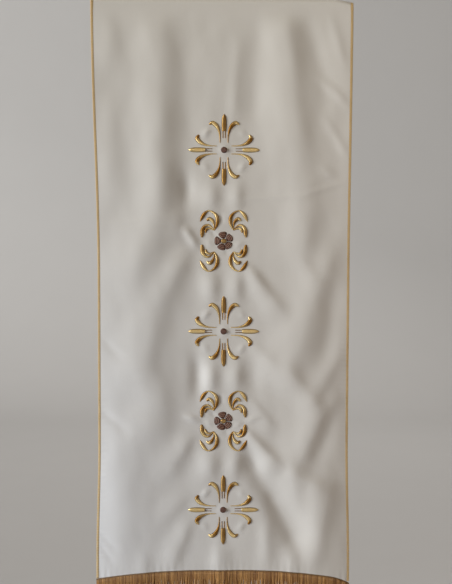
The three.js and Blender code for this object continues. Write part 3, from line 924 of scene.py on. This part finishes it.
class COVER_OT_fringe(bpy.types.Operator):
    """Hang the fringe and its heading under the hem"""

    bl_idname = "cover.fringe"
    bl_label = "Fringe"

    def execute(self, context):
        self.strands()
        self.heading()
        return {"FINISHED"}

    def strands(self):
        draw = np.random.default_rng(SEED)
        count = trim().strand_count
        reach = fringe_reach() - trim().strand_diameter / cloth().width
        places = mix(-reach, reach, (np.arange(count) + 0.5) / count)
        roots = hanging_point(places, np.ones(count))
        pull = np.repeat(draw.normal(0, PULL_SPREAD, count // CLUMP + 1), CLUMP)[:count]
        skins = Skins()
        for i, root in enumerate(roots):
            reach = trim().fringe_length + draw.normal(0, CUT_SPREAD)
            down = np.linspace(STRAND_TUCK, reach, STRAND_RINGS)
            share = down / reach
            free = smooth((down - BOUND_LENGTH) / BOUND_FADE)
            drift = draw.normal(0, DRIFT_SPREAD)
            bow = draw.normal(0, BOW_SPREAD)
            swing = draw.normal(0, SWING_SPREAD)
            behind = i % LAYERS == LAYERS - 1
            aside = 0.0 if behind else drift + pull[i]
            # painted shade: strands in the layer behind take only darker tones
            tone = draw.uniform(STRAND_DARKEST, SHADED_BEHIND_LIGHTEST if behind else STRAND_LIGHTEST)
            layer = (i % LAYERS - (LAYERS - 1) / 2) * LAYER_DEPTH
            points = np.stack([
                root[0] + (aside * share + bow * np.sin(share * math.pi)) * free,
                root[1] + layer + swing * share,
                root[2] - trim().seam_gap - down], -1)
            radii = np.full(STRAND_RINGS, trim().strand_diameter / 2 * draw.uniform(*STRAND_RANGE))
            radii[-1] *= STRAND_END
            rings, uvs = tube_rings(points, radii, STRAND_SIDES, BACKWARD,
                                    STRAND_PLIES, PLY_DEPTH, TURN / STRAND_LAY / STRAND_PLIES)
            skins.add(rings, uvs, mix(TONE_MIDDLE, tone, mix(BOUND_TONE, 1, free)))
        tints = trim().fringe_light, trim().fringe_dark
        finish = yarn("bronze_fringe_yarn", *tints, roughness=0.45, lay=0.0035)
        settle(skins.piece("hem_fringe_strands", finish), "bronze_fringe", "fringe")

    def heading(self):
        """A ribbed braid over the roots of the strands"""
        count = int(cloth().width / HEADING_PITCH) * HEADING_STEPS
        places = np.linspace(-fringe_reach(), fringe_reach(), count)
        line = hanging_point(places, np.ones_like(places))
        line[:, 2] -= trim().seam_gap + trim().heading_height / 2
        rib = mix(HEADING_LOW, 1, np.abs(np.sin(np.arange(count) / HEADING_STEPS * math.pi)))
        turn = np.arange(HEADING_SIDES) / HEADING_SIDES * TURN
        depth = np.cos(turn)[None] * HEADING_DEPTH * rib[:, None]
        rise = -np.sin(turn)[None] * trim().heading_height / 2
        rings = line[:, None] + joined(0.0, -depth, rise)
        uvs = joined(turn[None] / TURN, places[:, None] * cloth().width / 2)
        skins = Skins()
        skins.add(rings, uvs)
        tint = trim().heading_tint
        tints = shaded(tint, HEADING_LIGHT), tint
        finish = yarn("fringe_heading_yarn", *tints, roughness=0.5, lay=0.003)
        settle(skins.piece("hem_fringe_heading", finish), "bronze_fringe")


# Embroidery

# Each row is a point of a leaf's middle line and its width there, in millimetres.
# The cross's leaves are given along one arm: out from the centre, and to the side.
ARM_LOBE = ((68, 0, 1.6), (63, 0, 7.0), (54, 0, 9.4), (44, 0, 9.4), (36, 0, 8.0))
ARM_STEM = ((37, 2.3, 1.6), (22.5, 2.3, 1.3))
ARM_CURL = (
    (14, 7.6, 1.4), (26, 7.9, 2.4), (37, 10, 4.6), (46.6, 15.2, 7.8), (51.4, 22.3, 7.8), (48.4, 28.6, 3.0))
ARMS = 4
DOT_RADIUS = 6.0
# The rose's spray is given for the upper left quarter: across, and up from the centre.
SPRAY_ROOT = (-18.5, 20.5, 1.4)
SPRAY_LEAVES = (
    ((-45.4, 37.5, 1.4), (-41, 46.5, 6.6), (-36.5, 53, 6.2), (-29.8, 57.8, 2.8), (-21, 55, 4.2),
     (-13.8, 47, 6.6), (-12.2, 38, 7.0), (-14, 29, 4.8), SPRAY_ROOT),
    ((-32.5, 39.2, 3.6), (-27.6, 42.6, 7.0), (-22, 38.3, 6.0), (-18.8, 31, 3.0), SPRAY_ROOT),
    ((-42.4, 7.0, 3.2), (-41.6, 14, 7.4), (-41, 21, 7.6), (-36.6, 28.3, 6.0), (-29.8, 30.4, 4.4),
     (-23.6, 26.5, 2.6), SPRAY_ROOT),
    ((-35.0, 15.8, 2.6), (-33.8, 21.3, 5.4), (-29.6, 24.4, 4.6), (-24.5, 23.2, 2.8), SPRAY_ROOT),
)
QUARTERS = ((1, 1), (-1, 1), (-1, -1), (1, -1))
# The petal's ground along its middle: distance from the centre and width there
PETAL_GROUND = ((5.4, 6.0), (7.5, 9.8), (10.5, 14.0), (13.5, 16.6), (16.0, 14.4), (17.8, 7.0))
# Each row is one curved line of stitches over a petal: its radius and half its length
PETAL_LINES = ((15.8, 5.2), (12.7, 6.0), (9.6, 4.2))
PETAL_PADDING = (0.4, 0.7)
PETAL_LINE_WIDTH = 1.3
PETAL_LINE_PLACES = (-1, -0.5, 0, 0.5, 1)  # as shares of half its length
PETAL_LINE_LIFT = 0.7
PETAL_ANGLES = (99, 28, -43, -110, -182)
ROSE_CENTRE_RADIUS = 5.0
PADDING = 0.28
PADDING_LIMITS = (0.5, 1.8)
RIB_DEPTH = 0.2
RIB_STEPS = 4
ROUNDING_POWER = 0.6
LEAST_WIDTH = 0.5
LEAST_RINGS = 6
CURVE_STEPS = 40
DISC_ROWS = 9
DISC_REACH = 0.49  # of half a turn, so that the outer rows keep some width
# Tones of stitches, from dark to light: the darkest is the petals' own dark brown, and painted shade on
# the cross stems
TONE_DARK_AND_PAINTED_SHADE = 0.0
TONE_PLAIN = 0.15
TONE_CENTRE = 0.3
TONE_LIGHT = 1.0
# Direction across the cloth, and up it, in which the light comes: the stitches' tone paints thread that
# lies along it dark and thread square to it light, a painted sheen
LIGHT_LINE = (-0.89, 0.45)
LEAF_SIDES = 7


def between(a, b, t, start, end):
    return mix(a, b, (t - start) / (end - start))


def leaf_line(rows, step):
    """A smooth line through rows of place and width, at even steps"""
    rows = np.array(rows, float)
    knots = np.concatenate([2 * rows[:1] - rows[1:2], rows, 2 * rows[-1:] - rows[-2:-1]])
    gaps = np.sqrt(np.linalg.norm(np.diff(knots[:, :2], axis=0), axis=1))
    times = np.concatenate([[0], np.cumsum(gaps)])
    pieces = []
    for i in range(1, len(knots) - 2):
        t = np.linspace(times[i], times[i + 1], CURVE_STEPS, endpoint=i == len(knots) - 3)[:, None]
        a = [between(knots[i + k - 1], knots[i + k], t, times[i + k - 1], times[i + k]) for k in range(3)]
        b = [between(a[k], a[k + 1], t, times[i + k - 1], times[i + k + 1]) for k in range(2)]
        pieces.append(between(b[0], b[1], t, times[i], times[i + 1]))
    dense = np.concatenate(pieces)
    walked = walked_along(dense[:, :2])
    places = np.linspace(0, walked[-1], max(LEAST_RINGS, int(walked[-1] / step)))
    return read_off(dense, walked, places), places


class Motif:
    """Gathers bands of satin stitches that lie on the cloth around one centre"""

    def __init__(self, centre_drop):
        self.centre_drop = centre_drop
        self.skins = Skins()

    def band(self, rows, tone=None, lift=0.0, limits=PADDING_LIMITS):
        """A padded band whose ribs, one for each thread, run across it. Unless a tone is given, its tone
        is a painted sheen, light where the threads lie square to the light and dark where they lie along
        it, on top of the ribs' own gloss
        """
        line, walked = leaf_line(rows, stitch().thread / MM / RIB_STEPS)
        along = unit(np.gradient(line[:, :2], axis=0))
        aside = np.stack([-along[:, 1], along[:, 0]], -1)
        across = np.linspace(1, -1, LEAF_SIDES)
        width = np.maximum(line[:, 2], LEAST_WIDTH)
        padding = np.clip(width * PADDING, *limits) + lift
        rib = RIB_DEPTH * np.abs(np.sin(np.arange(len(line)) / RIB_STEPS * math.pi))
        rounding = (1 - across ** 2) ** ROUNDING_POWER
        height = (padding + rib)[:, None] * rounding[None]
        place = line[:, None, :2] + aside[:, None] * (across[None] * width[:, None] / 2)[..., None]
        x = place[..., 0] * MM
        drop = self.centre_drop - place[..., 1] * MM
        front = -cloth().bend_radius - relief(x, drop) - cloth().thickness / 2
        rings = np.stack([x, front - height * MM, -drop], -1)
        uvs = joined((across[None] + 1) / 2, walked[:, None] * MM)
        # painted sheen: threads square to the light get a lighter tone, threads along it a darker one
        painted_sheen = 1 - (aside @ np.array(LIGHT_LINE)) ** 2
        self.skins.add(rings, uvs, painted_sheen if tone is None else tone)

    def disc(self, radius, tone):
        """A round patch of stitches side by side"""
        places = np.sin(np.linspace(-DISC_REACH, DISC_REACH, DISC_ROWS) * math.pi) * radius
        self.band([(x, 0, 2 * math.sqrt(radius ** 2 - x ** 2)) for x in places], tone)

    def piece(self, name, finish, slot, *nodes):
        settle(self.skins.piece(name, finish), slot, *nodes)


def on_arm(rows, arm, side_sign):
    angle = math.pi / 2 - arm * math.pi / 2
    c, s = math.cos(angle), math.sin(angle)
    return [(out * c + side_sign * side * s, out * s - side_sign * side * c, width)
            for out, side, width in rows]


def numbered(name, count):
    return [f"{name}_{i + 1}" for i in range(count)]


def made_once(name, *tints, **settings):
    """The satin thread of that name, made on its first use"""
    return bpy.data.materials.get(name) or satin_thread(name, *tints, **settings)


def threads():
    gold = stitch().gold_light, stitch().gold_dark, stitch().gold_edge_shade
    # the petals' dark brown also serves as their painted edge shade
    brown = stitch().brown_light, stitch().brown_dark, stitch().brown_dark
    return (made_once("gold_stitches", *gold, roughness=0.34, metallic=0.8),
            made_once("brown_stitches", *brown, roughness=0.42, metallic=0.0))


class COVER_OT_crosses(bpy.types.Operator):
    """Embroider the three crosses"""

    bl_idname = "cover.crosses"
    bl_label = "Crosses"

    def execute(self, context):
        gold, brown = threads()
        for number, drop in enumerate(motif_drops()[0::2], 1):
            name = f"cross_{number}"
            leaves = Motif(drop)
            for arm in range(ARMS):
                leaves.band(on_arm(ARM_LOBE, arm, 1))
                for side_sign in (1, -1):
                    # painted shade: the thin gold stems take the darkest gold tone
                    leaves.band(on_arm(ARM_STEM, arm, side_sign), TONE_DARK_AND_PAINTED_SHADE)
                    leaves.band(on_arm(ARM_CURL, arm, side_sign))
            nodes = numbered(f"{name}_lobe", ARMS) + numbered(f"{name}_curl", 2 * ARMS)
            leaves.piece(f"{name}_leaves", gold, "gold_thread", *nodes)
            dot = Motif(drop)
            dot.disc(DOT_RADIUS, TONE_PLAIN)
            dot.piece(f"{name}_centre", brown, "brown_thread", f"{name}_dot")
        return {"FINISHED"}


class COVER_OT_roses(bpy.types.Operator):
    """Embroider the two roses and their leaf sprays"""

    bl_idname = "cover.roses"
    bl_label = "Roses"

    def execute(self, context):
        gold, brown = threads()
        for number, drop in enumerate(motif_drops()[1::2], 1):
            name = f"rose_{number}"
            sprays = Motif(drop)
            for sign_x, sign_y in QUARTERS:
                for rows in SPRAY_LEAVES:
                    sprays.band([(x * sign_x, y * sign_y, width) for x, y, width in rows])
            nodes = numbered(f"{name}_spray", len(QUARTERS))
            sprays.piece(f"{name}_sprays", gold, "gold_thread", *nodes)
            petals = Motif(drop)
            for angle in PETAL_ANGLES:
                petals.band(self.ground(angle), TONE_DARK_AND_PAINTED_SHADE, limits=PETAL_PADDING)
                for radius, half in PETAL_LINES:
                    petals.band(self.arc(angle, radius, half), TONE_LIGHT, PETAL_LINE_LIFT)
            petals.piece(f"{name}_petals", brown, "brown_thread", f"{name}_flower")
            centre = Motif(drop)
            centre.disc(ROSE_CENTRE_RADIUS, TONE_CENTRE)
            centre.piece(f"{name}_centre", gold, "gold_thread")
        return {"FINISHED"}

    def ground(self, angle):
        turn = math.radians(angle)
        return [(out * math.cos(turn), out * math.sin(turn), width) for out, width in PETAL_GROUND]

    def arc(self, angle, radius, half):
        turns = [math.radians(angle) + share * half / radius for share in PETAL_LINE_PLACES]
        return [(radius * math.cos(turn), radius * math.sin(turn), PETAL_LINE_WIDTH) for turn in turns]


# Stage

FLOOR_SIZE = 14.0
BACKDROP_DISTANCE = 4.2
SWEEP_RADIUS = 1.2
SWEEP_STEPS = 12
BACKDROP_HEIGHT = 5.0
# Each row: name, place, aim, width, height, watts, colour
LIGHTS = (
    ("window_light", (-14.7, -5.2, 2.5), (0.0, 0.0, -0.6), 4.8, 5.6, 3100.0, (1.0, 1.0, 0.985)),
    ("low_light", (-1.0, -0.45, -1.10), (-0.2, 0.0, -0.95), 0.4, 0.4, 2.0, (0.0, 0.33, 1.0)),
    ("room_light", (0.75, -0.55, -0.5), (0.2, 0.0, -0.55), 0.25, 1.5, 1.15, (1.0, 0.82, 0.74)),
    ("top_light", (0.0, -0.9, 0.55), (0.0, 0.0, -0.15), 0.8, 0.3, 0.5, (1.0, 0.86, 0.36)),
    ("back_light", (0.8, 3.2, 1.2), (0.0, 0.0, -0.5), 1.5, 1.5, 25.0, (1.0, 0.97, 0.93)),
    ("rim_light", (1.6, 0.25, -0.5), (0.2, 0.0, -0.6), 0.5, 1.6, 2.5, (1.0, 0.98, 0.95)),
)
WORLD_TINT = (1.0, 0.76, 0.54, 1.0)
WORLD_STRENGTH = 0.14


class COVER_OT_stage(bpy.types.Operator):
    """Set the floor, the lights and the camera"""

    bl_idname = "cover.stage"
    bl_label = "Stage"

    def execute(self, context):
        self.backdrop()
        lamps = {row[0]: self.light(context, *row) for row in LIGHTS}
        self.keep_to_cover(lamps["low_light"])
        world = bpy.data.worlds.new("soft_room")
        world.use_nodes = True
        sky = world.node_tree.nodes["Background"]
        sky.inputs["Color"].default_value = WORLD_TINT
        sky.inputs["Strength"].default_value = WORLD_STRENGTH
        context.scene.world = world
        context.scene.view_settings.view_transform = "Standard"
        self.camera(context)
        return {"FINISHED"}

    def backdrop(self):
        """A floor that sweeps up into a backdrop"""
        stage = bpy.context.scene.cover_stage
        centre_y = BACKDROP_DISTANCE - FLOOR_SIZE / 2
        bpy.ops.object.select_all(action="DESELECT")
        bpy.ops.mesh.primitive_plane_add(size=FLOOR_SIZE, location=(0, centre_y, -stage.floor_drop))
        floor = bpy.context.object
        floor.name = floor.data.name = "floor_and_backdrop"
        bpy.ops.object.transform_apply(location=True, rotation=False, scale=False)
        bpy.ops.object.mode_set(mode="EDIT")
        bpy.ops.mesh.select_mode(type="EDGE")
        self.select_back_edge(floor)
        bpy.ops.mesh.extrude_region_move(TRANSFORM_OT_translate={"value": (0, 0, BACKDROP_HEIGHT)})
        self.select_back_edge(floor)
        bpy.ops.mesh.bevel(offset=SWEEP_RADIUS, segments=SWEEP_STEPS, affect="EDGES")
        bpy.ops.object.mode_set(mode="OBJECT")
        bpy.ops.object.shade_smooth()
        floor.data.materials.append(pale_floor(stage.floor_tint))
        floor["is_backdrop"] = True

    def select_back_edge(self, floor):
        """Selects the edge where the floor meets the backdrop"""
        bpy.ops.mesh.select_all(action="DESELECT")
        bpy.ops.object.mode_set(mode="OBJECT")
        points = floor.data.vertices
        low = min(point.co.z for point in points)
        for edge in floor.data.edges:
            ends = [points[i].co for i in edge.vertices]
            edge.select = all(end.z < low + MM and end.y > BACKDROP_DISTANCE - MM for end in ends)
        bpy.ops.object.mode_set(mode="EDIT")

    def light(self, context, name, place, aim, width, height, watts, tint):
        data = bpy.data.lights.new(name, "AREA")
        data.shape = "RECTANGLE"
        data.size = width
        data.size_y = height
        data.energy = watts
        data.color = tint
        lamp = bpy.data.objects.new(name, data)
        lamp.location = place
        lamp.rotation_euler = (Vector(aim) - Vector(place)).to_track_quat("-Z", "Y").to_euler()
        context.scene.collection.objects.link(lamp)
        return lamp

    def keep_to_cover(self, lamp):
        """Lets a light fall on the cover alone"""
        group = bpy.data.collections.new("lit_cover")
        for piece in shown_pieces():
            group.objects.link(piece)
        lamp.light_linking.receiver_collection = group

    def camera(self, context):
        stage = context.scene.cover_stage
        data = bpy.data.cameras.new("camera")
        data.sensor_fit = "VERTICAL"
        data.angle = stage.view_angle
        camera = bpy.data.objects.new("camera", data)
        place = Vector((stage.camera_x, -stage.distance, stage.camera_z))
        aim = Vector((stage.aim_x, -cloth().bend_radius, stage.aim_z))
        turn = (aim - place).to_track_quat("-Z", "Y").to_matrix()
        camera.rotation_euler = (turn @ Matrix.Rotation(stage.roll, 3, "Z")).to_euler()
        camera.location = place
        context.scene.collection.objects.link(camera)
        context.scene.camera = camera


class COVER_PT_panel(bpy.types.Panel):
    """Lists the steps in order"""

    bl_idname = "COVER_PT_panel"
    bl_label = "Lectern cover"
    bl_space_type = "VIEW_3D"
    bl_region_type = "UI"
    bl_category = "Cover"

    def draw(self, context):
        for operator in OPERATORS:
            self.layout.operator(operator.bl_idname)
        for name, group in SETTINGS.items():
            box = self.layout.box()
            for key in group.__annotations__:
                box.prop(getattr(context.scene, name), key)


OPERATORS = (
    COVER_OT_cloth, COVER_OT_cords, COVER_OT_fringe, COVER_OT_crosses, COVER_OT_roses, COVER_OT_stage)
CLASSES = (*SETTINGS.values(), *OPERATORS, COVER_PT_panel)


def register():
    for group in CLASSES:
        bpy.utils.register_class(group)
    for name, group in SETTINGS.items():
        setattr(bpy.types.Scene, name, PointerProperty(type=group))


def unregister():
    for name in SETTINGS:
        delattr(bpy.types.Scene, name)
    for group in reversed(CLASSES):
        bpy.utils.unregister_class(group)


def main():
    register()
    bpy.ops.cover.cloth()
    bpy.ops.cover.cords()
    bpy.ops.cover.fringe()
    bpy.ops.cover.crosses()
    bpy.ops.cover.roses()
    bpy.ops.cover.stage()


if __name__ == "__main__":
    main()
